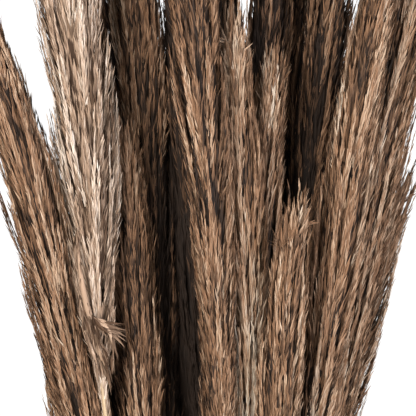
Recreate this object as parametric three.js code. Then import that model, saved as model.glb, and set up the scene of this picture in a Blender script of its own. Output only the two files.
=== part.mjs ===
// A bunch of dried pampas grass standing in a wide-mouthed pottery vase.
//
// Millimetres. +Z is up, +X is to the right and +Y to the back, seen from the front, and the origin
// is the centre of the vase's flat foot. Each stalk is two pieces on one gently arching axis: a bare
// stem, and the plume that it carries, whose solid is the plume's core without its loose hairs.
import * as THREE from "three";

// --- Driving dimensions ---------------------------------------------------------------------------

// The vase.
const VASE_HEIGHT = 300;
const FOOT_RADIUS = 76;
const BELLY_RADIUS = 126;
const NECK_RADIUS = 82;
const RIM_RADIUS = 87;
const WALL = 7.5;
const FLOOR = 12;
const VASE_SEGMENTS = 48;

// Levels that the bunch is laid out on.
const WAIST_Z = 600; // each stalk's place is given here, just above where the plumes begin
const CROWN_Z = 1000; // and again here, where the bunch has opened out

// How near the middle the stalks come below the waist, as a share of their place there.
const SHARE_AT_FOOT = 0.22;
const SHARE_AT_RIM = 0.5;

// A stalk arches outwards: this much of its lean is there from the waist, and the rest grows with height.
const EVEN_LEAN = 0.6;

// A stem.
const STEM_TOP_RADIUS = 2.2;
const STEM_FOOT_RADIUS = 2.7;
const STEM_SIDES = 8;
const STEM_STEPS = 7;

// A plume's core, as [share of its length, share of its radius]: a full one, and a slender one that
// widens slowly.
const FULL_OUTLINE = [
  [0.0, 0.0],
  [0.02, 0.2],
  [0.1, 0.62],
  [0.22, 0.9],
  [0.38, 1.0],
  [0.58, 0.96],
  [0.76, 0.74],
  [0.9, 0.42],
  [1.0, 0.0],
];
const SLENDER_OUTLINE = [
  [0.0, 0.0],
  [0.02, 0.16],
  [0.08, 0.4],
  [0.18, 0.52],
  [0.34, 0.62],
  [0.5, 0.76],
  [0.66, 0.94],
  [0.76, 1.0],
  [0.87, 0.8],
  [0.95, 0.42],
  [1.0, 0.0],
];
const PLUME_SIDES = 10;

// Between pieces that touch.
const GAP = 0.3;

// The stalks: place at the waist, place at the crown, heights of the plume's base and tip, and the
// plume's core radius, with a mark on the plumes of slender outline. A short plume's crown place is
// where its axis would pass if it went on.
const STALKS = [
  // the front, from left to right
  { waist: [-126, -58], crown: [-234, -104], base: 470, tip: 1110, radius: 21 },
  { waist: [-102, -84], crown: [-137, -74], base: 640, tip: 1240, radius: 26, slender: true },
  { waist: [-66, -42], crown: [-95, -40], base: 455, tip: 880, radius: 16 },
  { waist: [12, -112], crown: [-15, -114], base: 470, tip: 1165, radius: 19, slender: true },
  { waist: [40, -80], crown: [26, -84], base: 480, tip: 1000, radius: 15 },
  { waist: [44, -36], crown: [73, -48], base: 450, tip: 955, radius: 15 },
  { waist: [68, -118], crown: [111, -130], base: 430, tip: 808, radius: 16 },
  { waist: [108, -70], crown: [168, -88], base: 465, tip: 1150, radius: 18 },
  { waist: [128, -34], crown: [202, -36], base: 480, tip: 1180, radius: 18 },
  { waist: [136, 8], crown: [212, 14], base: 450, tip: 1075, radius: 18, slender: true },
  { waist: [134, 52], crown: [288, 88], base: 420, tip: 830, radius: 18 },
  { waist: [-138, -12], crown: [-206, -20], base: 405, tip: 742, radius: 18 },
  // the middle
  { waist: [-51, 4], crown: [-74, 8], base: 470, tip: 1195, radius: 18 },
  { waist: [-9, 12], crown: [-20, 26], base: 480, tip: 1225, radius: 19 },
  { waist: [34, 4], crown: [62, 24], base: 460, tip: 1215, radius: 19 },
  { waist: [80, 8], crown: [124, 40], base: 470, tip: 1185, radius: 20 },
  { waist: [62, 58], crown: [84, 98], base: 455, tip: 1165, radius: 22 },
  { waist: [12, 58], crown: [8, 92], base: 475, tip: 1200, radius: 21 },
  { waist: [-42, 56], crown: [-90, 92], base: 460, tip: 1150, radius: 21 },
  { waist: [-92, 26], crown: [-142, 28], base: 450, tip: 1120, radius: 19 },
  // the back, from left to right
  { waist: [-129, 42], crown: [-238, 112], base: 450, tip: 1080, radius: 21 },
  { waist: [-90, 80], crown: [-128, 142], base: 470, tip: 1140, radius: 23 },
  { waist: [-46, 108], crown: [-72, 190], base: 440, tip: 1095, radius: 24 },
  { waist: [6, 112], crown: [12, 184], base: 465, tip: 1150, radius: 24 },
  { waist: [58, 114], crown: [98, 206], base: 445, tip: 1085, radius: 24 },
  { waist: [108, 92], crown: [176, 156], base: 470, tip: 1125, radius: 23 },
];

// --- Materials ------------------------------------------------------------------------------------

const MATERIALS = {
  stoneware: new THREE.MeshStandardMaterial({ color: 0xb9a58c, roughness: 0.7, metalness: 0 }),
  stem: new THREE.MeshStandardMaterial({ color: 0xb59a6a, roughness: 0.6, metalness: 0 }),
  plume: new THREE.MeshStandardMaterial({ color: 0x84644d, roughness: 0.9, metalness: 0 }),
};

// --- Shapes ---------------------------------------------------------------------------------------

// A solid turned about +Z from [radius, height] points that start and end on the axis.
function turned(points, sides) {
  const profile = points.map(([radius, height]) => new THREE.Vector2(radius, height));
  return new THREE.LatheGeometry(profile, sides).rotateX(Math.PI / 2);
}

// A stalk's axis, as a smooth line through its places from the vase's floor up: drawn together in the
// vase, and arching outwards above the waist.
function axisOf({ waist, crown }) {
  const gathered = (share) => waist.map((w) => w * share);
  const arched = (rise) => {
    const lean = EVEN_LEAN * rise + (1 - EVEN_LEAN) * rise * rise;
    return waist.map((w, i) => w + (crown[i] - w) * lean);
  };
  const places = [
    [FLOOR, gathered(SHARE_AT_FOOT)],
    [VASE_HEIGHT, gathered(SHARE_AT_RIM)],
    ...[0, 0.5, 1, 1.5].map((rise) => [WAIST_Z + rise * (CROWN_Z - WAIST_Z), arched(rise)]),
  ];
  const heights = places.map(([height]) => height);
  return new THREE.CubicInterpolant(heights, places.flatMap(([, place]) => place), 2);
}

// Moves each level of an upright solid sideways on to a stalk's axis.
function followAxis(geometry, stalk) {
  const axis = axisOf(stalk);
  const place = geometry.getAttribute("position");
  for (let i = 0; i < place.count; i++) {
    const [x, y] = axis.evaluate(place.getZ(i));
    place.setX(i, place.getX(i) + x);
    place.setY(i, place.getY(i) + y);
  }
  geometry.computeVertexNormals();
  return geometry;
}

function stemGeometry(stalk) {
  const foot = FLOOR + GAP;
  const length = stalk.base - GAP - foot;
  const radii = [STEM_TOP_RADIUS, STEM_FOOT_RADIUS];
  const upright = new THREE.CylinderGeometry(...radii, length, STEM_SIDES, STEM_STEPS);
  upright.rotateX(Math.PI / 2).translate(0, 0, foot + length / 2);
  return followAxis(upright, stalk);
}

function plumeGeometry(stalk) {
  const length = stalk.tip - stalk.base;
  const shape = stalk.slender ? SLENDER_OUTLINE : FULL_OUTLINE;
  const outline = shape.map(([along, out]) => [out * stalk.radius, stalk.base + along * length]);
  return followAxis(turned(outline, PLUME_SIDES), stalk);
}

// The vase's outer skin from the foot up, then its inner skin from the rim down, with a rounded rim.
function vaseGeometry() {
  const shoulder = new THREE.SplineCurve([
    new THREE.Vector2(FOOT_RADIUS, 3),
    new THREE.Vector2(BELLY_RADIUS * 0.86, VASE_HEIGHT * 0.2),
    new THREE.Vector2(BELLY_RADIUS, VASE_HEIGHT * 0.48),
    new THREE.Vector2(BELLY_RADIUS * 0.87, VASE_HEIGHT * 0.76),
    new THREE.Vector2(NECK_RADIUS, VASE_HEIGHT * 0.92),
    new THREE.Vector2(RIM_RADIUS, VASE_HEIGHT - 2),
  ]);
  const outer = shoulder.getPoints(14).map((p) => [p.x, p.y]);
  const inner = outer
    .filter(([, z]) => z > FLOOR + WALL)
    .map(([r, z]) => [r - WALL, z])
    .reverse();
  const foot = [[0, 0], [FOOT_RADIUS - 3, 0]];
  const rim = [[RIM_RADIUS - 2, VASE_HEIGHT], [RIM_RADIUS - WALL + 2, VASE_HEIGHT]];
  const floor = [[FOOT_RADIUS - WALL - 4, FLOOR], [0, FLOOR]];
  return turned([...foot, ...outer, ...rim, ...inner, ...floor], VASE_SEGMENTS);
}

// --- Assembly -------------------------------------------------------------------------------------

const pampasInVase = new THREE.Group();

function add(name, geometry, material) {
  const mesh = new THREE.Mesh(geometry, material);
  mesh.name = name;
  pampasInVase.add(mesh);
}

add("vase", vaseGeometry(), MATERIALS.stoneware);
STALKS.forEach((stalk, i) => {
  const number = String(i + 1).padStart(2, "0");
  add(`stem_${number}`, stemGeometry(stalk), MATERIALS.stem);
  add(`plume_${number}`, plumeGeometry(stalk), MATERIALS.plume);
});

export default pampasInVase;
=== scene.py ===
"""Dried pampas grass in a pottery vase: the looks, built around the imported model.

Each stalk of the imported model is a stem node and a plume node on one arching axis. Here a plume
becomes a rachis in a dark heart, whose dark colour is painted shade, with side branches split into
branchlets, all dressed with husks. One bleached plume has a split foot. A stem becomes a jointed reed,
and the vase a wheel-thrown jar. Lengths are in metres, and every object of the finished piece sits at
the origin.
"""

from __future__ import annotations

import logging
import math
from dataclasses import dataclass, field
from enum import Enum
from functools import partial
from typing import Any

import bpy
import numpy as np
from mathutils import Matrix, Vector

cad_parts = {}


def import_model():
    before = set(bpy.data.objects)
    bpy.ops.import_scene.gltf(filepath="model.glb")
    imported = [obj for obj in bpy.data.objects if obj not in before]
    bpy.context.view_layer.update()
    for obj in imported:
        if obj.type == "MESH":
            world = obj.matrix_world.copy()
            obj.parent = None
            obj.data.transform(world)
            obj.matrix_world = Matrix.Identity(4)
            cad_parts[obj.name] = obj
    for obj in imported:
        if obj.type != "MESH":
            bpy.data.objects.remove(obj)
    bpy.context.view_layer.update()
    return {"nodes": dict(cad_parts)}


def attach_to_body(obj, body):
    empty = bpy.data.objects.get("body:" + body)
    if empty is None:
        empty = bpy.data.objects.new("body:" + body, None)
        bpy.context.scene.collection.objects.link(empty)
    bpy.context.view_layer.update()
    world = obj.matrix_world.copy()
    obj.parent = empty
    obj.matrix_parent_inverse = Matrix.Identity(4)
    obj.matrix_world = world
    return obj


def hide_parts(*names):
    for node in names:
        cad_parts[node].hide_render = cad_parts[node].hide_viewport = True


LOG = logging.getLogger("pampas")
MM = 0.001
GOLDEN_ANGLE = math.pi * (3 - math.sqrt(5))
LEVEL_DIGITS = 4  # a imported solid's levels are told apart to 0.1 mm


# --- Small helpers --------------------------------------------------------------------------------


def linear(hex_colour: str) -> tuple[float, float, float, float]:
    """Turns an sRGB hex colour into a linear one.

    Args:
        hex_colour: six hex digits, such as "84644d".

    Returns:
        The linear red, green and blue, and an alpha of 1.
    """
    parts = [int(hex_colour[i : i + 2], 16) / 255 for i in (0, 2, 4)]
    straight = [p / 12.92 if p <= 0.04045 else ((p + 0.055) / 1.055) ** 2.4 for p in parts]
    return (*straight, 1.0)


def add_node(
    tree: bpy.types.NodeTree,
    kind: str,
    inputs: dict[Any, Any] | None = None,
    stops: tuple[tuple[float, str], ...] = (),
    **settings: Any,
) -> Any:
    """Adds a node with its settings and links.

    Args:
        tree: the node tree that it goes in.
        kind: the node's type.
        inputs: by input name or number, a value, or the output that feeds it, or a node whose first
            output does, or a list of those.
        stops: for a colour ramp, places from 0 to 1 with their sRGB hex colours.
        settings: the node's own properties.

    Returns:
        The new node.
    """
    node = tree.nodes.new(kind)
    for name, value in settings.items():
        setattr(node, name, value)
    for key, value in (inputs or {}).items():
        for source in value if isinstance(value, list) else [value]:
            if isinstance(source, bpy.types.Node):
                source = next(output for output in source.outputs if output.enabled)
            if isinstance(source, bpy.types.NodeSocket):
                tree.links.new(source, node.inputs[key])
            else:
                node.inputs[key].default_value = source
    if stops:
        elements = node.color_ramp.elements
        for _ in stops[2:]:
            elements.new(1.0)
        for element, (place, colour) in zip(elements, stops):
            element.position = place
            element.color = linear(colour)
    return node


def new_object(name: str, data: bpy.types.ID) -> bpy.types.Object:
    """Puts data in the scene as an object at the origin, and returns the object."""
    made = bpy.data.objects.new(name, data)
    bpy.context.scene.collection.objects.link(made)
    return made


def smoothstep(low: float, high: float, value: np.ndarray) -> np.ndarray:
    """Rises smoothly from 0 at low to 1 at high."""
    share = np.clip((value - low) / (high - low), 0.0, 1.0)
    return share * share * (3 - 2 * share)


# --- Finishes -------------------------------------------------------------------------------------


def new_material(name: str) -> tuple[bpy.types.Material, bpy.types.NodeTree, Any]:
    """Makes a node material.

    Args:
        name: the material's name.

    Returns:
        The material, its node tree and its Principled node.
    """
    material = bpy.data.materials.new(name)
    material.use_nodes = True
    tree = material.node_tree
    return material, tree, tree.nodes["Principled BSDF"]


@dataclass(frozen=True)
class DryPlumeFinish:
    """Dried grass spikelets: matt papery husks, each dark at its foot and paler towards its tip, the dark foot
    partly own colour and partly painted shade.
    """

    name: str
    shade: str
    body: str
    light: str
    pale: str
    foot_colour_and_shade: float = 0.5
    tip_light: float = 1.12
    patch_size: float = 60 * MM
    patch_share: float = 0.2
    roughness: float = 0.72
    gloss: float = 0.15

    def make(self) -> bpy.types.Material:
        """Makes the material, which reads the plume's tone attribute, with painted shade in it, and its along
        attribute.
        """
        material, tree, shader = new_material(self.name)
        add = partial(add_node, tree)
        tone = add("ShaderNodeAttribute", attribute_name="tone").outputs["Fac"]
        along = add("ShaderNodeAttribute", attribute_name="along").outputs["Fac"]
        coords = add("ShaderNodeTexCoord").outputs["Object"]
        # Weathering: soft patches where a plume has bleached or stayed dark.
        patches = add("ShaderNodeTexNoise", {"Vector": coords, "Scale": 1 / self.patch_size, "Detail": 2.0})
        shift = add("ShaderNodeMath", {0: patches, 1: -0.5}, operation="ADD")
        patchy = add("ShaderNodeMath", {0: shift, 1: self.patch_share, 2: tone}, operation="MULTIPLY_ADD")
        # The darkest stop, shade, is where the painted shade of the heart and of plumes deep in the bunch
        # falls.
        stops = ((0.0, self.shade), (0.4, self.body), (0.75, self.light), (1.0, self.pale))
        husk = add("ShaderNodeValToRGB", {"Fac": patchy}, stops)
        # Each husk darkens towards its foot: partly its own colour, partly painted shade between overlapping
        # husks.
        lights = {"Value": along, "To Min": self.foot_colour_and_shade, "To Max": self.tip_light}
        foot = add("ShaderNodeMapRange", lights)
        tinted = add("ShaderNodeVectorMath", {0: husk, "Scale": foot}, operation="SCALE")
        tree.links.new(tinted.outputs[0], shader.inputs["Base Color"])
        shader.inputs["Roughness"].default_value = self.roughness
        shader.inputs["Specular IOR Level"].default_value = self.gloss
        return material


@dataclass(frozen=True)
class ReedFinish:
    """A dried reed: a smooth, faintly glossy straw skin with fine lengthwise fibres."""

    name: str = "dried_reed_skin"
    straw: str = "ab9678"
    brown: str = "866c50"
    joint_ring: str = "5a402a"
    fibre_gap: float = 0.6 * MM
    fibre_length: float = 60 * MM
    roughness: float = 0.5

    def make(self) -> bpy.types.Material:
        """Makes the material, which is stretched along the stem and darker at its joints."""
        material, tree, shader = new_material(self.name)
        add = partial(add_node, tree)
        coords = add("ShaderNodeTexCoord").outputs["Object"]
        joint = add("ShaderNodeAttribute", attribute_name="joint").outputs["Fac"]
        scale = (1 / self.fibre_gap, 1 / self.fibre_gap, 1 / self.fibre_length)
        stretched = add("ShaderNodeMapping", {"Vector": coords, "Scale": scale})
        fibres = add("ShaderNodeTexNoise", {"Vector": stretched, "Scale": 1.0, "Detail": 3.0})
        skin = add("ShaderNodeValToRGB", {"Fac": fibres}, ((0.3, self.brown), (0.6, self.straw)))
        ringed = {"Factor": joint, "A": skin, "B": linear(self.joint_ring)}
        mixed = add("ShaderNodeMix", ringed, data_type="RGBA")
        tree.links.new(mixed.outputs["Result"], shader.inputs["Base Color"])
        shader.inputs["Roughness"].default_value = self.roughness
        return material


@dataclass(frozen=True)
class StonewareFinish:
    """Wheel-thrown stoneware under a thin matt glaze: iron specks and a bare clay foot."""

    name: str = "matt_glazed_stoneware"
    glaze: str = "a79b88"
    glaze_thin: str = "94836b"
    clay: str = "77583f"
    speck: str = "4a382b"
    roughness: float = 0.62
    cloud_size: float = 45 * MM
    speck_gap: float = 6 * MM
    speck_radius: float = 0.42 * MM
    speck_halo: float = 0.3 * MM
    grit_size: float = 0.8 * MM
    grit_depth: float = 0.3 * MM
    bare_height: float = 26 * MM
    edge_blur: float = 2 * MM
    edge_wander: float = 20 * MM

    def make(self) -> bpy.types.Material:
        """Makes the material, in patterns scaled from millimetres on object coordinates."""
        material, tree, shader = new_material(self.name)
        add = partial(add_node, tree)
        coords = add("ShaderNodeTexCoord").outputs["Object"]
        height = add("ShaderNodeSeparateXYZ", {0: coords}).outputs["Z"]
        # The glaze pools and thins in cloudy areas.
        cloud = add("ShaderNodeTexNoise", {"Vector": coords, "Scale": 1 / self.cloud_size, "Detail": 4.0})
        glazed = add("ShaderNodeValToRGB", {"Fac": cloud}, ((0.3, self.glaze_thin), (0.6, self.glaze)))
        # Iron specks under 1 mm across, whose distances are shares of the gap between them.
        cells = add("ShaderNodeTexVoronoi", {"Vector": coords, "Scale": 1 / self.speck_gap})
        inside = self.speck_radius / self.speck_gap
        outside = (self.speck_radius + self.speck_halo) / self.speck_gap
        around = {"Value": cells.outputs["Distance"], "From Min": inside, "From Max": outside}
        specks = add("ShaderNodeMapRange", around)
        dotted = {"Factor": specks, "A": linear(self.speck), "B": glazed}
        speckled = add("ShaderNodeMix", dotted, data_type="RGBA")
        # The glaze stops in an uneven line just above the foot.
        wandering = {0: cloud, 1: self.edge_wander, 2: height}
        ragged = add("ShaderNodeMath", wandering, operation="MULTIPLY_ADD")
        blurred = {"From Min": self.bare_height, "From Max": self.bare_height + self.edge_blur}
        edge = add("ShaderNodeMapRange", {"Value": ragged, **blurred})
        dipped = {"Factor": edge, "A": linear(self.clay), "B": speckled.outputs["Result"]}
        whole = add("ShaderNodeMix", dipped, data_type="RGBA")
        tree.links.new(whole.outputs["Result"], shader.inputs["Base Color"])
        # The fine grit of the clay shows through the thin glaze.
        grit = add("ShaderNodeTexNoise", {"Vector": coords, "Scale": 1 / self.grit_size, "Detail": 2.0})
        bump = add("ShaderNodeBump", {"Height": grit, "Strength": 0.25, "Distance": self.grit_depth})
        tree.links.new(bump.outputs[0], shader.inputs["Normal"])
        shader.inputs["Roughness"].default_value = self.roughness
        return material


@dataclass(frozen=True)
class FloorFinish:
    """A plain pale painted floor."""

    name: str = "pale_floor"
    colour: str = "e9e7e3"
    roughness: float = 0.8

    def make(self) -> bpy.types.Material:
        """Makes the material."""
        material, _, shader = new_material(self.name)
        shader.inputs["Base Color"].default_value = linear(self.colour)
        shader.inputs["Roughness"].default_value = self.roughness
        return material


class PlumeTone(Enum):
    """The two finishes that a plume can have: the brown of most of the bunch, and sun-bleached."""

    BROWN = DryPlumeFinish("dry_plume_brown", shade="2a201a", body="88664d", light="b2977f", pale="c8b7a5")
    BLEACHED = DryPlumeFinish(
        "dry_plume_bleached", shade="513c2d", body="a38974", light="cdbaa9", pale="dfd4c9"
    )


# --- The stalks' axes -----------------------------------------------------------------------------


@dataclass(frozen=True)
class StalkAxis:
    """The arching line that a stem or plume follows, with its core radius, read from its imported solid."""

    low: float
    high: float
    heights: np.ndarray
    radii: np.ndarray
    fit_x: np.ndarray
    fit_y: np.ndarray

    @staticmethod
    def rings(node: bpy.types.Object) -> tuple[np.ndarray, np.ndarray, np.ndarray]:
        """Returns the heights, centres and radii of the level rings that a stalk node is made of."""
        places = np.array([v.co for v in node.data.vertices], float).reshape(-1, 3)
        heights = np.unique(np.round(places[:, 2], LEVEL_DIGITS))
        rings = [places[np.abs(places[:, 2] - h) < 10**-LEVEL_DIGITS] for h in heights]
        centres = np.array([(r.min(0) + r.max(0)) / 2 for r in rings])
        radii = np.array([np.hypot(*(r - c)[:, :2].T).max() for r, c in zip(rings, centres)])
        return heights, centres, radii

    @classmethod
    def of(
        cls, node: bpy.types.Object, below: bpy.types.Object | None = None, reach: float = 0.2
    ) -> StalkAxis:
        """Reads a stalk node.

        Args:
            node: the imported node's object.
            below: the node that carries it, on the same axis.
            reach: how far down the axis has to hold there.

        Returns:
            Its axis.
        """
        heights, centres, radii = cls.rings(node)
        levels, middles = heights, centres
        if below:
            lower, lower_middles, _ = cls.rings(below)
            near = lower > heights[0] - reach
            levels, middles = np.append(lower[near], levels), np.concatenate([lower_middles[near], middles])
        fits = [np.polyfit(levels, middles[:, i], 4) for i in (0, 1)]
        return cls(float(heights[0]), float(heights[-1]), heights, radii, *fits)

    def at(self, height: np.ndarray) -> np.ndarray:
        """Returns the axis's points at the given heights, as rows of x, y, z."""
        height = np.asarray(height, float)
        return np.stack([np.polyval(self.fit_x, height), np.polyval(self.fit_y, height), height], -1)

    def core(self, height: np.ndarray) -> np.ndarray:
        """Returns the solid's radius at the given heights."""
        return np.interp(height, self.heights, self.radii, left=0.0, right=0.0)


# --- Geometry Nodes: dressing branchlets with spikelets -------------------------------------------


def spikelet_mesh() -> bpy.types.Mesh:
    """Makes one closed husk, 1 long and 1 in half width: a keeled blade that points along Z, keel to Y."""
    corners = [(0, 0, 0), (1, -0.42, 0.36), (-1, -0.42, 0.36), (0, 0, 1)]
    faces = [(0, 1, 3), (0, 3, 2), (0, 2, 1), (1, 2, 3)]
    mesh = bpy.data.meshes.new("spikelet")
    mesh.from_pydata(corners, [], faces)
    mesh.attributes.new("along", "FLOAT", "POINT").data.foreach_set("value", [0.0, 0.45, 0.45, 1.0])
    return mesh


class PlumeTree:
    """The Geometry Nodes tree that turns a plume's bare branch lines into a dressed plume."""

    INPUTS = {
        "Spacing": ("NodeSocketFloat", 3.5 * MM),
        "Husk Length": ("NodeSocketFloat", 18 * MM),
        "Husk Half Width": ("NodeSocketFloat", 1.2 * MM),
        "Lean": ("NodeSocketFloat", 0.14),
        "Heart Husks": ("NodeSocketFloat", 30000.0),
        "Twig Radius": ("NodeSocketFloat", 0.35 * MM),
        "Strand Width": ("NodeSocketFloat", 6 * MM),
        "Strand Relief": ("NodeSocketFloat", 5 * MM),
        "Seed": ("NodeSocketInt", 1),
        "Husk": ("NodeSocketObject", None),
        "Material": ("NodeSocketMaterial", None),
    }
    # What each husk draws for itself, and what is added to the seed for it.
    DRAWS = {"sideways": 1, "loose": 2, "width": 3, "length": 4, "tone": 5, "turn": 6, "side": 7}
    # The heart's dark tone is painted shade for the inside of the plume.
    HEART_PAINTED_SHADE = -0.3
    HEART_GIRTH = 1.3
    TONE_SPREAD = 0.22

    def __init__(self) -> None:
        """Builds the tree."""
        self.tree = bpy.data.node_groups.new("dress_plume", "GeometryNodeTree")
        face = self.tree.interface
        face.new_socket("Geometry", in_out="INPUT", socket_type="NodeSocketGeometry")
        self.sockets = {}
        for name, (kind, value) in self.INPUTS.items():
            socket = face.new_socket(name, in_out="INPUT", socket_type=kind)
            if value is not None:
                socket.default_value = value
            self.sockets[name] = socket.identifier
        face.new_socket("Geometry", in_out="OUTPUT", socket_type="NodeSocketGeometry")
        self.add = partial(add_node, self.tree)
        self.given = self.add("NodeGroupInput").outputs
        self.seeds = {
            name: self.add("ShaderNodeMath", {0: self.given["Seed"], 1: float(salt)}, operation="ADD")
            for name, salt in self.DRAWS.items()
        }
        self._fill()

    def _facing(self, upward: Any, outward: Any, side: Any) -> Any:
        """Works out each husk's rotation.

        Args:
            upward: the direction that it grows in.
            outward: the direction that its keel faces.
            side: -1 to 1, for the side that it leans to.

        Returns:
            The rotation, with a little of its own in every direction.
        """
        add, seeds, lean = self.add, self.seeds, self.given["Lean"]
        upright = add("FunctionNodeAlignRotationToVector", {"Vector": upward}, axis="Z")
        aimed = {"Rotation": upright, "Vector": outward}
        keel_out = add("FunctionNodeAlignRotationToVector", aimed, axis="Y", pivot_axis="Z")
        to_side = add("ShaderNodeMath", {0: lean, 1: side}, operation="MULTIPLY")
        share = add("FunctionNodeRandomValue", {2: 0.15, 3: 1.1, "Seed": seeds["sideways"]})
        sideways = add("ShaderNodeMath", {0: to_side, 1: share}, operation="MULTIPLY")
        # Most husks lie close, and a few stand well out.
        chance = add("FunctionNodeRandomValue", {2: 0.0, 3: 1.0, "Seed": seeds["loose"]})
        loose = add("ShaderNodeMath", {0: chance, 1: 4.0}, operation="POWER")
        out = add("ShaderNodeMath", {0: loose, 1: -2.0, 2: -0.15}, operation="MULTIPLY_ADD")
        away = add("ShaderNodeMath", {0: lean, 1: out}, operation="MULTIPLY")
        twist = add("FunctionNodeRandomValue", {2: -0.8, 3: 0.8, "Seed": seeds["turn"]})
        turn = add("ShaderNodeCombineXYZ", {"X": away, "Y": sideways, "Z": twist})
        own = add("FunctionNodeEulerToRotation", {0: turn})
        whole = {"Rotation": keel_out, "Rotate By": own}
        return add("FunctionNodeRotateRotation", whole, rotation_space="LOCAL")

    def _husks(self, points: Any, facing: Any, girth: Any, tone_shift: float) -> Any:
        """Sets a husk on each point.

        Args:
            points: the points, which carry the tone attribute.
            facing: each husk's rotation.
            girth: each husk's size, where 1 is a full one.
            tone_shift: added to the tone of every husk.

        Returns:
            The husks, as instances.
        """
        add, seeds, given = self.add, self.seeds, self.given
        widths = add("FunctionNodeRandomValue", {2: 0.7, 3: 1.2, "Seed": seeds["width"]})
        half_width = add("ShaderNodeMath", {0: given["Husk Half Width"], 1: widths}, operation="MULTIPLY")
        wide = add("ShaderNodeMath", {0: half_width, 1: girth}, operation="MULTIPLY")
        lengths = add("FunctionNodeRandomValue", {2: 0.7, 3: 1.25, "Seed": seeds["length"]})
        length = add("ShaderNodeMath", {0: given["Husk Length"], 1: lengths}, operation="MULTIPLY")
        long = add("ShaderNodeMath", {0: length, 1: girth}, operation="MULTIPLY")
        size = add("ShaderNodeCombineXYZ", {"X": wide, "Y": wide, "Z": long})
        husk = add("GeometryNodeObjectInfo", {"Object": given["Husk"]}).outputs["Geometry"]
        seated = {"Points": points, "Instance": husk, "Rotation": facing, "Scale": size}
        placed = add("GeometryNodeInstanceOnPoints", seated)
        tone = add("GeometryNodeInputNamedAttribute", {"Name": "tone"}, data_type="FLOAT")
        spread = {2: tone_shift - self.TONE_SPREAD, 3: tone_shift + self.TONE_SPREAD, "Seed": seeds["tone"]}
        change = add("FunctionNodeRandomValue", spread)
        own = add("ShaderNodeMath", {0: tone, 1: change}, operation="ADD")
        toned = {"Geometry": placed, "Name": "tone", "Value": own}
        return add("GeometryNodeStoreNamedAttribute", toned, data_type="FLOAT", domain="INSTANCE")

    def _ears(self, lines: Any) -> Any:
        """Sets husks along the branchlets, which are curves, leaning left and right in turn."""
        add = self.add
        spaced = {"Curve": lines, "Length": self.given["Spacing"]}
        points = add("GeometryNodeResampleCurve", spaced, mode="LENGTH")
        index = add("GeometryNodeInputIndex")
        parity = add("ShaderNodeMath", {0: index, 1: 2.0}, operation="MODULO")
        side = add("ShaderNodeMath", {0: parity, 1: 2.0, 2: -1.0}, operation="MULTIPLY_ADD")
        tangent = add("GeometryNodeInputTangent")
        outward = add("GeometryNodeInputNamedAttribute", {"Name": "outward"}, data_type="FLOAT_VECTOR")
        girth = add("GeometryNodeInputNamedAttribute", {"Name": "girth"}, data_type="FLOAT")
        return self._husks(points, self._facing(tangent, outward, side), girth, 0.0)

    def _tubes(self, lines: Any, radius: Any, sides: int, count: int, along: float) -> Any:
        """Sweeps closed tubes along curves.

        Args:
            lines: the curves.
            radius: the tube's radius.
            sides: how many sides the tube has.
            count: how many points each curve keeps.
            along: the tube's place on the way from a husk's dark foot to its pale tip, where the dark foot is
                partly painted shade.

        Returns:
            The tubes' mesh.
        """
        add = self.add
        points = add("GeometryNodeResampleCurve", {"Curve": lines, "Count": count}, mode="COUNT")
        ring = add("GeometryNodeCurvePrimitiveCircle", {"Resolution": sides, "Radius": 1.0}, mode="RADIUS")
        path = {"Curve": points, "Profile Curve": ring, "Scale": radius, "Fill Caps": True}
        swept = add("GeometryNodeCurveToMesh", path)
        placed = {"Geometry": swept, "Name": "along", "Value": along}
        return add("GeometryNodeStoreNamedAttribute", placed, data_type="FLOAT", domain="POINT")

    def _heart(self, rachis: Any) -> list[Any]:
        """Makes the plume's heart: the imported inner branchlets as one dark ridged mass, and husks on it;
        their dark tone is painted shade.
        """
        add, given = self.add, self.given
        tangent = add("GeometryNodeInputTangent")
        pointed = {"Geometry": rachis, "Name": "upward", "Value": tangent}
        aimed = add("GeometryNodeStoreNamedAttribute", pointed, data_type="FLOAT_VECTOR", domain="POINT")
        radius = add("GeometryNodeInputNamedAttribute", {"Name": "mass"}, data_type="FLOAT")
        mass = self._tubes(aimed, radius, sides=20, count=60, along=0.0)
        place = add("GeometryNodeInputPosition")
        # The ridges are a strand wide and run along the plume for about ten strand widths.
        across = add("ShaderNodeMath", {0: 1.0, 1: given["Strand Width"]}, operation="DIVIDE")
        upwards = add("ShaderNodeMath", {0: across, 1: 0.1}, operation="MULTIPLY")
        scale = add("ShaderNodeCombineXYZ", {"X": across, "Y": across, "Z": upwards})
        stretched = add("ShaderNodeVectorMath", {0: place, 1: scale}, operation="MULTIPLY")
        noise = add("ShaderNodeTexNoise", {"Vector": stretched, "Scale": 1.0, "Detail": 1.0})
        height = add("ShaderNodeMath", {0: noise, 1: 0.5}, operation="SUBTRACT")
        lift = add("ShaderNodeMath", {0: height, 1: given["Strand Relief"]}, operation="MULTIPLY")
        normal = add("GeometryNodeInputNormal")
        offset = add("ShaderNodeVectorMath", {0: normal, "Scale": lift}, operation="SCALE")
        ridged = add("GeometryNodeSetPosition", {"Geometry": mass, "Offset": offset})
        spread = {"Mesh": ridged, "Density": given["Heart Husks"], "Seed": given["Seed"]}
        seats = add("GeometryNodeDistributePointsOnFaces", spread)
        upward = add("GeometryNodeInputNamedAttribute", {"Name": "upward"}, data_type="FLOAT_VECTOR")
        side = add("FunctionNodeRandomValue", {2: -1.0, 3: 1.0, "Seed": self.seeds["side"]})
        facing = self._facing(upward, seats.outputs["Normal"], side)
        # Painted shade: the heart mass and the husks on it take the dark heart tone.
        dark = {"Geometry": ridged, "Name": "tone", "Value": self.HEART_PAINTED_SHADE}
        toned = add("GeometryNodeStoreNamedAttribute", dark, data_type="FLOAT", domain="POINT")
        return [toned, self._husks(seats, facing, self.HEART_GIRTH, self.HEART_PAINTED_SHADE)]

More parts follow.
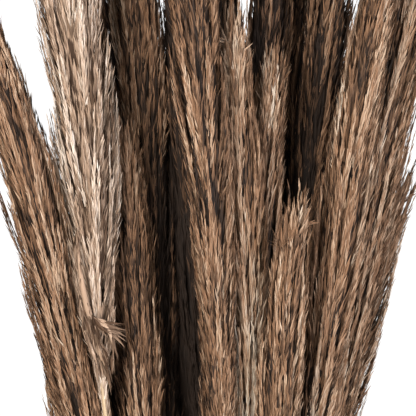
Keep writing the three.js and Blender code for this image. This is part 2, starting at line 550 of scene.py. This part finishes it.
    def _fill(self) -> None:
        """Adds the nodes."""
        add, given = self.add, self.given
        mark = add("GeometryNodeInputNamedAttribute", {"Name": "rachis"}, data_type="FLOAT")
        rachis = add("ShaderNodeMath", {0: mark, 1: 0.5}, operation="GREATER_THAN")
        chosen = {"Geometry": given["Geometry"], "Selection": rachis}
        parts = add("GeometryNodeSeparateGeometry", chosen, domain="POINT")
        rachis_line = add("GeometryNodeMeshToCurve", {"Mesh": parts.outputs["Selection"]})
        branchlets = add("GeometryNodeMeshToCurve", {"Mesh": parts.outputs["Inverted"]})
        twigs = self._tubes(branchlets, given["Twig Radius"], sides=3, count=3, along=0.2)
        girth = add("GeometryNodeInputNamedAttribute", {"Name": "girth"}, data_type="FLOAT")
        spine = self._tubes(rachis_line, girth, sides=8, count=24, along=0.9)
        pieces = [self._ears(branchlets), twigs, spine, *self._heart(rachis_line)]
        whole = add("GeometryNodeJoinGeometry", {0: pieces})
        real = add("GeometryNodeRealizeInstances", {"Geometry": whole})
        dressed = add("GeometryNodeSetMaterial", {"Geometry": real, "Material": given["Material"]})
        add("NodeGroupOutput", {0: dressed})

    def dress(self, lines: bpy.types.Object, name: str, values: dict[str, Any]) -> bpy.types.Object:
        """Dresses one plume's lines.

        Args:
            lines: the object that holds the bare lines, which is used up.
            name: the finished piece's name.
            values: the tree's inputs by name.

        Returns:
            The finished piece, a plain mesh with no modifier.
        """
        modifier = lines.modifiers.new("dress", "NODES")
        modifier.node_group = self.tree
        for key, value in values.items():
            modifier[self.sockets[key]] = value
        graph = bpy.context.evaluated_depsgraph_get()
        mesh = bpy.data.meshes.new_from_object(lines.evaluated_get(graph))
        mesh.name = name
        bare = lines.data
        bpy.data.objects.remove(lines)
        bpy.data.meshes.remove(bare)
        return new_object(name, mesh)


# --- Sub-assemblies -------------------------------------------------------------------------------


@dataclass
class LineSet:
    """Bare lines for the tree to dress, with what it reads at each of their points."""

    places: list[np.ndarray] = field(default_factory=list)
    edges: list[tuple[int, int]] = field(default_factory=list)
    values: dict[str, list[float]] = field(
        default_factory=lambda: {name: [] for name in ("tone", "girth", "mass", "rachis")}
    )
    outward: list[np.ndarray] = field(default_factory=list)

    def add(self, line: np.ndarray, outward: np.ndarray, **values: Any) -> None:
        """Adds one line.

        Args:
            line: its points, as rows of x, y, z.
            outward: the direction away from the plume's axis.
            values: numbers for each name in values, one for the whole line or one for each point.
        """
        first = sum(len(place) for place in self.places)
        self.places.append(line)
        self.edges.extend((first + i, first + i + 1) for i in range(len(line) - 1))
        self.outward.append(np.broadcast_to(outward, line.shape))
        for name, kept in self.values.items():
            kept.extend(np.broadcast_to(values.get(name, 0.0), len(line)))

    def mesh(self) -> bpy.types.Mesh:
        """Makes the lines as a mesh of edges with attributes."""
        mesh = bpy.data.meshes.new("plume_lines")
        mesh.from_pydata(np.concatenate(self.places).tolist(), self.edges, [])
        for name, kept in self.values.items():
            mesh.attributes.new(name, "FLOAT", "POINT").data.foreach_set("value", np.array(kept, np.float32))
        outward = np.concatenate(self.outward).astype(np.float32).ravel()
        mesh.attributes.new("outward", "FLOAT_VECTOR", "POINT").data.foreach_set("vector", outward)
        return mesh


@dataclass
class Plume:
    """One dried flower head: a rachis, side branches pressed to it, and their branchlets."""

    number: int
    axis: StalkAxis
    finish: bpy.types.Material
    # Tones by height: partly the plume's own colour, partly painted shade for plumes deep in the bunch.
    foot_tone: float = 0.5
    crown_tone: float = 0.5
    tip_tone: float = 0.5
    branch_spacing: float = 5.2 * MM
    branch_length: float = 165 * MM
    branchlets_each: int = 3
    branchlet_gap: float = 2.1 * MM
    fullness: float = 1.38
    looseness: float = 2.5 * MM
    tip_looseness: float = 4.5 * MM
    tip_taper: float = 0.4
    tip_overrun: float = 2.4 * MM
    tip_shortfall: float = 48 * MM
    heart_share: float = 0.6
    heart_husks: float = 56000.0
    inner_chance: float = 0.2
    inner_reach: tuple[float, float] = (0.6, 0.78)
    outer_reach: tuple[float, float] = (0.86, 1.03)
    # Branches set deeper in the plume are darker by this much: painted shade.
    inner_painted_shade: float = 0.2
    branch_tone_spread: float = 0.12
    branchlet_tone_spread: float = 0.09
    rachis_top: float = 0.93
    rachis_points: int = 60
    rachis_foot_radius: float = 2.2 * MM
    rachis_tip_radius: float = 0.5 * MM
    grooves: int = 3
    groove_depth: float = 0.2
    groove_turn: float = 160 * MM
    swing: float = 0.1
    swing_length: float = 90 * MM
    flare: tuple[float, float] = (-0.5 * MM, 3.0 * MM)
    tip_flare: float = 1.4
    skirt: float = 22 * MM
    skirt_branches: int = 9
    line_points: int = 12
    rng: np.random.Generator = field(init=False)

    def __post_init__(self) -> None:
        """Seeds the plume's own random numbers."""
        self.rng = np.random.default_rng(1000 + self.number)

    def envelope(self, height: np.ndarray) -> np.ndarray:
        """Returns how far the plume reaches from its axis at the given heights."""
        share = self.share(height)
        loose = self.looseness + self.tip_looseness * smoothstep(0.72, 1.0, share)
        tapered = 1 - self.tip_taper * smoothstep(0.7, 0.96, share)
        return self.axis.core(height) * self.fullness * tapered + loose

    def share(self, height: np.ndarray) -> np.ndarray:
        """Returns the heights as shares of the plume, from 0 at its foot to 1 at its tip."""
        return (height - self.axis.low) / (self.axis.high - self.axis.low)

    def tone_at(self, height: np.ndarray) -> np.ndarray:
        """Returns the plume's paleness at the given heights, which carries painted shade for plumes deep in the
        bunch.
        """
        share = self.share(height)
        rise = smoothstep(0.1, 0.75, share)
        tone = self.foot_tone + (self.crown_tone - self.foot_tone) * rise
        # The tips stand clear of the bunch, out of the painted shade, so all rise to the same tip tone.
        return tone + (self.tip_tone - tone) * smoothstep(0.76, 0.92, share)

    def _branch_line(
        self, start: float, length: float, azimuth: float, reach: float, along: np.ndarray
    ) -> np.ndarray:
        """Finds points on a side branch, which leaves the rachis and then runs up beside it.

        Args:
            start: height where it leaves the rachis.
            length: the branch's length.
            azimuth: its direction round the rachis.
            reach: its distance from the axis as a share of the envelope.
            along: shares of the length, which may pass 1.

        Returns:
            Rows of x, y, z.
        """
        height = start + along * length
        # Shallow grooves run up the plume, where its branches part into bundles.
        swing = azimuth + self.swing * np.sin(height / self.swing_length + 3 * azimuth)
        turn = np.cos(self.grooves * swing + self.number + height / self.groove_turn)
        groove = 1 - self.groove_depth * (0.5 + 0.5 * turn) ** 4
        out = reach * groove * self.envelope(np.minimum(height, self.axis.high))
        out = out * (1 - (1 - np.clip(along, 0, 1)) ** 2.6)
        centre = self.axis.at(height)
        return centre + np.stack([out * np.cos(swing), out * np.sin(swing), np.zeros_like(out)], -1)

    def lines(self) -> LineSet:
        """Makes the rachis and every branchlet as bare lines."""
        rng, axis, made = self.rng, self.axis, LineSet()
        tall = axis.high - axis.low
        along = np.linspace(0, self.rachis_top, self.rachis_points)
        heights = axis.low - 1 * MM + along * tall
        ends = smoothstep(0.02, 0.2, along) * smoothstep(self.rachis_top, 0.7, along)
        mass = self.heart_share * self.envelope(heights) * ends
        made.add(
            axis.at(heights),
            np.array([0.0, -1.0, 0.0]),
            tone=self.tone_at(heights),
            girth=np.linspace(self.rachis_foot_radius, self.rachis_tip_radius, len(along)),
            mass=mass + 0.4 * MM,
            rachis=1.0,
        )
        count = round(self.rachis_top * tall / self.branch_spacing)
        shares = (np.arange(count) + rng.uniform(0, 0.9, count)) / count
        skirt = axis.low - self.skirt * rng.uniform(0, 1, self.skirt_branches)
        starts = axis.low + self.rachis_top * tall * shares**1.2
        for branch, start in enumerate([*skirt, *starts]):
            # About one branch in five may pass the tip, and the others have to end short of it.
            room = axis.high - start + self.tip_overrun - self.tip_shortfall * rng.random() ** 2
            length = min(self.branch_length * rng.uniform(0.75, 1.25), room)
            azimuth = branch * GOLDEN_ANGLE + rng.normal(0, 0.15)
            inner = rng.random() < self.inner_chance
            reach = rng.uniform(*(self.inner_reach if inner else self.outer_reach))
            # Inner branches are made darker: painted shade.
            tone = rng.normal(0, self.branch_tone_spread) - self.inner_painted_shade * inner
            for place in np.arange(self.branchlets_each) - (self.branchlets_each - 1) / 2:
                self._branchlet(made, start, length, azimuth, reach, tone, place)
        return made

    def _branchlet(
        self,
        made: LineSet,
        start: float,
        length: float,
        azimuth: float,
        reach: float,
        tone: float,
        place: float,
    ) -> None:
        """Adds one branchlet beside its side branch.

        Args:
            made: takes the finished line.
            start: height where the side branch leaves the rachis.
            length: the side branch's length.
            azimuth: its direction round the rachis.
            reach: its distance from the axis as a share of the envelope.
            tone: how much paler it is than the plume.
            place: its place across the branch, with 0 for the middle one, which is the longest.
        """
        rng = self.rng
        begins = rng.uniform(0.05, 0.3) if place else 0.0
        ends = rng.uniform(0.72, 0.98) if place else rng.uniform(0.95, 1.1)
        line = self._branch_line(start, length, azimuth, reach, np.linspace(begins, ends, self.line_points))
        own = np.linspace(0, 1, self.line_points)
        spread = smoothstep(0, 0.35, own) * (1 - 0.5 * smoothstep(0.55, 1, own))
        side, out = place * self.branchlet_gap + rng.normal(0, 0.8 * MM), rng.normal(0, 1.4 * MM)
        wave = rng.uniform(0.3, 1.0) * MM * np.sin(own * rng.uniform(5, 10) + rng.uniform(0, 6))
        wide_tip = 1 + self.tip_flare * smoothstep(0.75, 1.0, self.share(line[-1, 2]))
        flare = rng.uniform(*self.flare) * wide_tip * own**3
        across = np.array([-math.sin(azimuth), math.cos(azimuth), 0.0])
        outward = np.array([math.cos(azimuth), math.sin(azimuth), 0.0])
        line = line + np.outer(side * spread + wave, across) + np.outer(out * spread + flare, outward)
        paleness = tone + rng.normal(0, self.branchlet_tone_spread) + self.tone_at(line[:, 2])
        made.add(line, outward, tone=paleness, girth=1.0 - 0.4 * own**2.5)

    def build(self, tree: PlumeTree, husk: bpy.types.Object) -> bpy.types.Object:
        """Builds the plume.

        Args:
            tree: the tree that dresses its lines.
            husk: one spikelet.

        Returns:
            The finished piece.
        """
        lines = new_object("plume_lines", self.lines().mesh())
        values = {
            "Seed": self.number * 17,
            "Husk": husk,
            "Material": self.finish,
            "Heart Husks": self.heart_husks,
        }
        return tree.dress(lines, f"pampas_plume_{self.number:02d}", values)


@dataclass
class SplitPlume(Plume):
    """The bleached front plume: its foot has split, so a bare strap and a twist of fibres show on it."""

    skirt: float = 62 * MM
    skirt_branches: int = 20
    branch_spacing: float = 4.3 * MM
    heart_husks: float = 80000.0
    belly: float = 0.26
    stalk_fuzz: float = 2.6 * MM
    strap_radius: float = 2.8 * MM
    fibre_radius: float = 0.95 * MM
    # Places on the plume's foot as (to the right, to the front, above the foot), in millimetres.
    strap: tuple[tuple[float, float, float], ...] = (
        (-14, 12, 150), (-14, 23, 122), (-13, 26, 98), (-11, 25, 72), (-7, 20, 50), (-3, 13, 30), (0, 5, 6)
    )
    twist: tuple[tuple[float, float, float], ...] = (
        (-11, 20, 62), (-4, 19, 54), (2, 19, 50), (8, 17, 49), (12, 13, 42), (13, 11, 26)
    )
    gather: tuple[tuple[float, float, float], ...] = (
        (-15, 20, 66), (-13, 23, 50), (-9, 20, 34), (-5, 15, 20), (-2, 8, 4)
    )
    twist_fibres: int = 5
    gather_fibres: int = 8

    def envelope(self, height: np.ndarray) -> np.ndarray:
        """Returns how far the plume reaches, which is more in its middle and in the fuzz round its stalk."""
        share = self.share(height)
        middle = smoothstep(0.1, 0.34, share) * smoothstep(0.78, 0.5, share)
        fuzz = self.stalk_fuzz * smoothstep(0.03, -0.01, share)
        return super().envelope(height) * (1 + self.belly * middle) + fuzz

    def tone_at(self, height: np.ndarray) -> np.ndarray:
        """Returns the paleness, which is higher again in the fuzz below the foot."""
        return super().tone_at(height) + 0.35 * smoothstep(0.02, -0.03, self.share(height))

    def lines(self) -> LineSet:
        """Makes the plume's lines, with the strap and the loose fibres."""
        made, rng = super().lines(), self.rng
        self._bare_line(made, self.strap, (0.0, 0.0, 0.0), self.strap_radius, 0.3)
        for fibre in range(self.twist_fibres):
            shift = (0.0, rng.normal(0, 0.5), -2.0 * fibre + rng.normal(0, 0.4))
            self._bare_line(made, self.twist, shift, self.fibre_radius, 0.3 + 0.04 * fibre)
        for fibre in range(self.gather_fibres):
            shift = (1.6 * fibre - 2.0, rng.normal(0, 0.7) - 0.2 * fibre, rng.normal(0, 4.0))
            self._bare_line(made, self.gather, shift, self.fibre_radius, 0.5 - 0.03 * fibre)
        return made

    def _bare_line(
        self, made: LineSet, places: tuple, shift: tuple[float, float, float], radius: float, tone: float
    ) -> None:
        """Adds a smooth bare line on the plume's foot.

        Args:
            made: takes the finished line.
            places: the places that it passes, in millimetres.
            shift: added to every place, in millimetres.
            radius: its half thickness.
            tone: its paleness.
        """
        steps = np.linspace(0, 1, len(places))
        fine = np.linspace(0, 1, 24)
        across, forward, up = (
            np.polyval(np.polyfit(steps, values, 3), fine) + moved
            for values, moved in zip(np.array(places, float).T, shift)
        )
        line = self.axis.at(self.axis.low + up * MM) + np.stack([across, -forward, 0 * up], -1) * MM
        taper = radius * smoothstep(0, 0.55, fine) * smoothstep(1, 0.8, fine) + 0.3 * MM
        made.add(line, np.array([0.0, -1.0, 0.0]), tone=tone, girth=taper, mass=0.02 * MM, rachis=1.0)


@dataclass
class Stem:
    """A bare reed stem: a smooth tube, thickened and dark-ringed at its joints."""

    number: int
    axis: StalkAxis
    finish: bpy.types.Material
    sides: int = 10
    ring_spacing: float = 9 * MM
    joint_spacing: float = 118 * MM
    joint_swell: float = 0.7 * MM
    joint_half_height: float = 4 * MM
    joint_free_top: float = 12 * MM

    def build(self) -> bpy.types.Object:
        """Builds the stem as one closed tube of level rings."""
        rng = np.random.default_rng(3000 + self.number)
        axis = self.axis
        first = axis.low + rng.uniform(0.2, 0.9) * self.joint_spacing
        joints = np.arange(first, axis.high - self.joint_free_top, self.joint_spacing)
        plain = np.arange(axis.low, axis.high, self.ring_spacing)
        near = [j + k * self.joint_half_height for j in joints for k in (-1, -0.4, 0, 0.4, 1)]
        heights = np.unique(np.round(np.concatenate([plain, near, [axis.low, axis.high]]), 5))
        nearness = np.zeros_like(heights)
        for joint in joints:
            away = np.abs(heights - joint)
            nearness = np.maximum(nearness, 1 - smoothstep(0, self.joint_half_height, away))
        radii = axis.core(heights) + self.joint_swell * nearness
        turns = np.linspace(0, math.tau, self.sides, endpoint=False)
        centres = axis.at(heights)
        rings = np.stack([np.cos(turns), np.sin(turns), np.zeros_like(turns)], -1)
        corners = (centres[:, None, :] + radii[:, None, None] * rings[None]).reshape(-1, 3)
        faces = []
        for level in range(len(heights) - 1):
            for k in range(self.sides):
                a, b = level * self.sides + k, level * self.sides + (k + 1) % self.sides
                faces.append((a, b, b + self.sides, a + self.sides))
        last = (len(heights) - 1) * self.sides
        faces += [tuple(reversed(range(self.sides))), tuple(range(last, last + self.sides))]
        name = f"reed_stem_{self.number:02d}"
        mesh = bpy.data.meshes.new(name)
        mesh.from_pydata(corners.tolist(), [], faces)
        marks = mesh.attributes.new("joint", "FLOAT", "POINT")
        marks.data.foreach_set("value", np.repeat(nearness, self.sides))
        mesh.shade_smooth()
        mesh.materials.append(self.finish)
        return new_object(name, mesh)


@dataclass
class Vase:
    """The wheel-thrown jar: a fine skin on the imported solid's outline, with throwing rings and a soft rim."""

    node: bpy.types.Object
    finish: bpy.types.Material
    sides: int = 120
    levels: int = 90
    ring_spacing: float = 11 * MM
    ring_depth: float = 0.7 * MM
    foot_ring: float = 9 * MM
    recess: float = 2.5 * MM
    foot_chamfer: float = 1 * MM
    foot_inset: float = 1.5 * MM
    # The inner wall meets the floor in a rounded corner, as (in from the wall, above the floor).
    corner: tuple[tuple[float, float], ...] = ((5 * MM, 2 * MM), (12 * MM, 0.0))
    outline_degree: int = 7
    wobble: float = 0.004

    def _walls(self) -> tuple[np.ndarray, float, float]:
        """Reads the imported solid.

        Returns:
            The outer wall's radius as a polynomial in height, the wall's thickness, and the inner
            floor's height.
        """
        places = np.array([v.co for v in self.node.data.vertices], float).reshape(-1, 3)
        radius, height = np.hypot(places[:, 0], places[:, 1]), places[:, 2]
        off_axis = radius > 1 * MM
        levels = np.unique(np.round(height[off_axis], LEVEL_DIGITS))
        rings = [radius[(np.abs(height - level) < 10**-LEVEL_DIGITS) & off_axis] for level in levels]
        inner_floor = float(height[~off_axis].max())
        # A level that has both walls has a wide spread of radii, and one with the outer wall alone has none.
        thick = [ring.max() - ring.min() for ring in rings if ring.max() - ring.min() > 2 * MM]
        wall = float(np.median(thick))
        outer = [
            (level, ring.max())
            for level, ring in zip(levels, rings)
            if abs(level - inner_floor) > 1 * MM and level > 0
        ]
        heights, radii = np.array(outer).T
        return np.polyfit(heights, radii, self.outline_degree), wall, inner_floor

    def build(self) -> bpy.types.Object:
        """Builds the vase as one closed turned skin."""
        outline, wall, inner_floor = self._walls()
        top = max(v.co.z for v in self.node.data.vertices)
        lip = wall / 2
        up = np.linspace(2 * MM, top - lip, self.levels)
        outer = np.polyval(outline, up)
        arc = np.linspace(0, math.pi, 9)[1:-1]
        lip_middle = outer[-1] - lip
        down = up[up > inner_floor + wall][::-1]
        inner = np.polyval(outline, down) - wall
        bottom = outer[0]
        rows = [
            (bottom - 2 * self.foot_ring, self.recess),
            (bottom - self.foot_ring, self.recess),
            (bottom - self.foot_ring + self.foot_chamfer, 0.0),
            (bottom - self.foot_inset, 0.0),
            *zip(outer, up),
            *((lip_middle + lip * math.cos(a), top - lip + lip * math.sin(a)) for a in arc),
            *zip(inner, down),
            *((inner[-1] - inward, inner_floor + above) for inward, above in self.corner),
        ]
        return self._turn(np.array(rows), self.recess, inner_floor, top)

    def _turn(self, rows: np.ndarray, low_pole: float, high_pole: float, top: float) -> bpy.types.Object:
        """Turns the outline about the upright axis.

        Args:
            rows: radius and height, from the underside round the rim to the inner floor.
            low_pole: height of the underside's middle.
            high_pole: height of the inner floor's middle.
            top: the rim's height.

        Returns:
            The vase.
        """
        turns = np.linspace(0, math.tau, self.sides, endpoint=False)
        radius, height = rows[:, :1], rows[:, 1:]
        # The potter's fingers leave one spiral groove, which fades at the foot and the rim.
        fade = smoothstep(0.02, 0.12, height / top) * smoothstep(1.0, 0.9, height / top)
        groove = self.ring_depth * fade * np.sin(math.tau * height / self.ring_spacing + turns)
        out = (radius + groove) * (1 + self.wobble * fade * np.sin(2 * turns + 9 * height / top))
        corners = np.stack([out * np.cos(turns), out * np.sin(turns), np.broadcast_to(height, out.shape)], -1)
        poles = [(0.0, 0.0, low_pole), (0.0, 0.0, high_pole)]
        corners = corners.reshape(-1, 3).tolist() + poles
        count = len(rows)
        low, high = count * self.sides, count * self.sides + 1
        faces = []
        for k in range(self.sides):
            after = (k + 1) % self.sides
            faces.append((low, after, k))
            faces.append((high, (count - 1) * self.sides + k, (count - 1) * self.sides + after))
            for level in range(count - 1):
                a, b = level * self.sides + k, level * self.sides + after
                faces.append((a, b, b + self.sides, a + self.sides))
        mesh = bpy.data.meshes.new("stoneware_vase")
        mesh.from_pydata(corners, [], faces)
        mesh.shade_smooth()
        mesh.materials.append(self.finish)
        return new_object("stoneware_vase", mesh)


# --- Studio ---------------------------------------------------------------------------------------


@dataclass(frozen=True)
class Softbox:
    """A square soft light that faces the bunch."""

    name: str
    place: tuple[float, float, float]
    side: float
    watts: float
    colour: str

    def build(self, aim_height: float) -> None:
        """Adds the light.

        Args:
            aim_height: height on the upright axis that it faces.
        """
        light = bpy.data.lights.new(self.name, "AREA")
        light.size = self.side
        light.energy = self.watts
        light.color = linear(self.colour)[:3]
        lamp = new_object(self.name, light)
        lamp.location = self.place
        aim = Vector((0.0, 0.0, aim_height)) - Vector(self.place)
        lamp.rotation_euler = aim.to_track_quat("-Z", "Y").to_euler()


@dataclass
class Studio:
    """The camera, the soft lights, the white surround and the pale floor."""

    view_height: float = 0.8
    view_width: float = 0.423
    distance: float = 3.2
    sensor: float = 36.0
    floor_radius: float = 3.5
    surround_light: float = 0.28
    surround_shown: float = 1.1
    softboxes: tuple[Softbox, ...] = (
        Softbox("key_softbox", (-1.2, -2.6, 1.35), side=1.2, watts=109.0, colour="fffaf2"),
        Softbox("fill_softbox", (1.7, -2.3, 0.75), side=1.2, watts=88.0, colour="f8f9ff"),
        Softbox("back_softbox", (0.5, 2.9, 1.5), side=1.6, watts=55.0, colour="ffffff"),
    )

    def camera(self) -> None:
        """Adds the camera: level, straight from the front, through a long lens."""
        lens = bpy.data.cameras.new("camera")
        lens.sensor_width = self.sensor
        lens.lens = self.sensor * self.distance / self.view_width
        lens.clip_end = 100.0
        camera = new_object("camera", lens)
        camera.location = (0.0, -self.distance, self.view_height)
        camera.rotation_euler = (math.pi / 2, 0.0, 0.0)
        bpy.context.scene.camera = camera

    def surround(self) -> None:
        """Adds the white surround, which is brighter to look at than the light that it gives."""
        world = bpy.data.worlds.new("white_surround")
        bpy.context.scene.world = world
        world.use_nodes = True
        tree = world.node_tree
        shown = tree.nodes["Background"]
        shown.inputs["Color"].default_value = (1.0, 1.0, 1.0, 1.0)
        seen = add_node(tree, "ShaderNodeLightPath").outputs["Is Camera Ray"]
        levels = {"Value": seen, "To Min": self.surround_light, "To Max": self.surround_shown}
        strength = add_node(tree, "ShaderNodeMapRange", levels)
        tree.links.new(strength.outputs[0], shown.inputs["Strength"])

    def floor(self, material: bpy.types.Material) -> None:
        """Adds the floor, a disc that ends before the level camera could see it."""
        turns = np.linspace(0, math.tau, 96, endpoint=False)
        reach = self.floor_radius
        corners = [(reach * math.cos(turn), reach * math.sin(turn), 0.0) for turn in turns]
        mesh = bpy.data.meshes.new("floor")
        mesh.from_pydata(corners, [], [tuple(range(len(corners)))])
        mesh.materials.append(material)
        new_object("floor", mesh)

    def build(self) -> None:
        """Builds the whole studio."""
        self.camera()
        for softbox in self.softboxes:
            softbox.build(self.view_height)
        self.surround()
        self.floor(FloorFinish().make())
        view = bpy.context.scene.view_settings
        view.view_transform = "Standard"
        view.look = "None"


# --- The whole piece ------------------------------------------------------------------------------

BLEACHED_PLUMES = {2}

# What sets single plumes apart in tone and fullness. The tones are partly each plume's own colour and
# partly painted light and shade: plumes deep in the bunch, and the feet of plumes hidden among others, are
# darker for the shade they stand in.
OWN_LOOKS_AND_PAINTED_SHADE = {
    1: {"foot_tone": 0.45, "crown_tone": 0.48},
    2: {"foot_tone": 0.42, "crown_tone": 0.66, "tip_tone": 0.66},
    3: {"foot_tone": 0.36, "crown_tone": 0.34},
    4: {"foot_tone": 0.4, "crown_tone": 0.34},
    5: {"foot_tone": 0.74, "crown_tone": 0.45},
    6: {"foot_tone": -0.15, "crown_tone": 0.45},
    7: {"foot_tone": 0.46, "crown_tone": 0.34, "tip_tone": 0.4},
    8: {"foot_tone": 0.44, "crown_tone": 0.48},
    9: {"foot_tone": 0.5, "crown_tone": 0.46},
    13: {"foot_tone": -0.15, "crown_tone": 0.42, "fullness": 1.6, "tip_taper": 0.1},
    14: {"foot_tone": -0.3, "crown_tone": 0.05, "fullness": 2.1, "tip_taper": 0.1},
    15: {"foot_tone": 0.0, "crown_tone": 0.18},
    16: {"foot_tone": 0.05, "crown_tone": 0.22, "fullness": 1.6, "tip_taper": 0.2},
    17: {"foot_tone": 0.0, "crown_tone": 0.2},
    18: {"foot_tone": -0.1, "crown_tone": 0.2, "fullness": 1.6},
    19: {"foot_tone": -0.1, "crown_tone": 0.2, "fullness": 1.5},
    20: {"foot_tone": 0.2, "crown_tone": 0.34, "fullness": 1.6},
    23: {"crown_tone": 0.2, "tip_tone": 0.4, "fullness": 1.5, "tip_taper": 0.1},
    25: {"fullness": 1.2, "tip_looseness": 0.0, "tip_taper": 0.5},
    26: {"fullness": 1.5},
}


def attach(piece: bpy.types.Object, node: str) -> None:
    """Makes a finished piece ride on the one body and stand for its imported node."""
    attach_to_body(piece, "root")
    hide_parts(node)
    triangles = sum(len(face.vertices) - 2 for face in piece.data.polygons)
    LOG.info("%s: %d triangles", piece.name, triangles)


def main() -> None:
    """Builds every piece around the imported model, and the studio."""
    logging.basicConfig(level=logging.INFO, format="%(message)s")
    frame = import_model()
    Studio().build()

    nodes = frame["nodes"]
    finishes = {tone: tone.value.make() for tone in PlumeTone}
    reed = ReedFinish().make()
    husk = new_object("husk", spikelet_mesh())
    tree = PlumeTree()
    numbers = sorted(int(name.split("_")[1]) for name in nodes if name.startswith("plume_"))
    for number in numbers:
        tone = PlumeTone.BLEACHED if number in BLEACHED_PLUMES else PlumeTone.BROWN
        axis = StalkAxis.of(nodes[f"plume_{number:02d}"], below=nodes[f"stem_{number:02d}"])
        kind = SplitPlume if number in BLEACHED_PLUMES else Plume
        plume = kind(number, axis, finishes[tone], **OWN_LOOKS_AND_PAINTED_SHADE.get(number, {}))
        attach(plume.build(tree, husk), f"plume_{number:02d}")
        stem = Stem(number, StalkAxis.of(nodes[f"stem_{number:02d}"]), reed)
        attach(stem.build(), f"stem_{number:02d}")
    bpy.data.objects.remove(husk)
    attach(Vase(nodes["vase"], StonewareFinish().make()).build(), "vase")


if __name__ == "__main__":
    main()
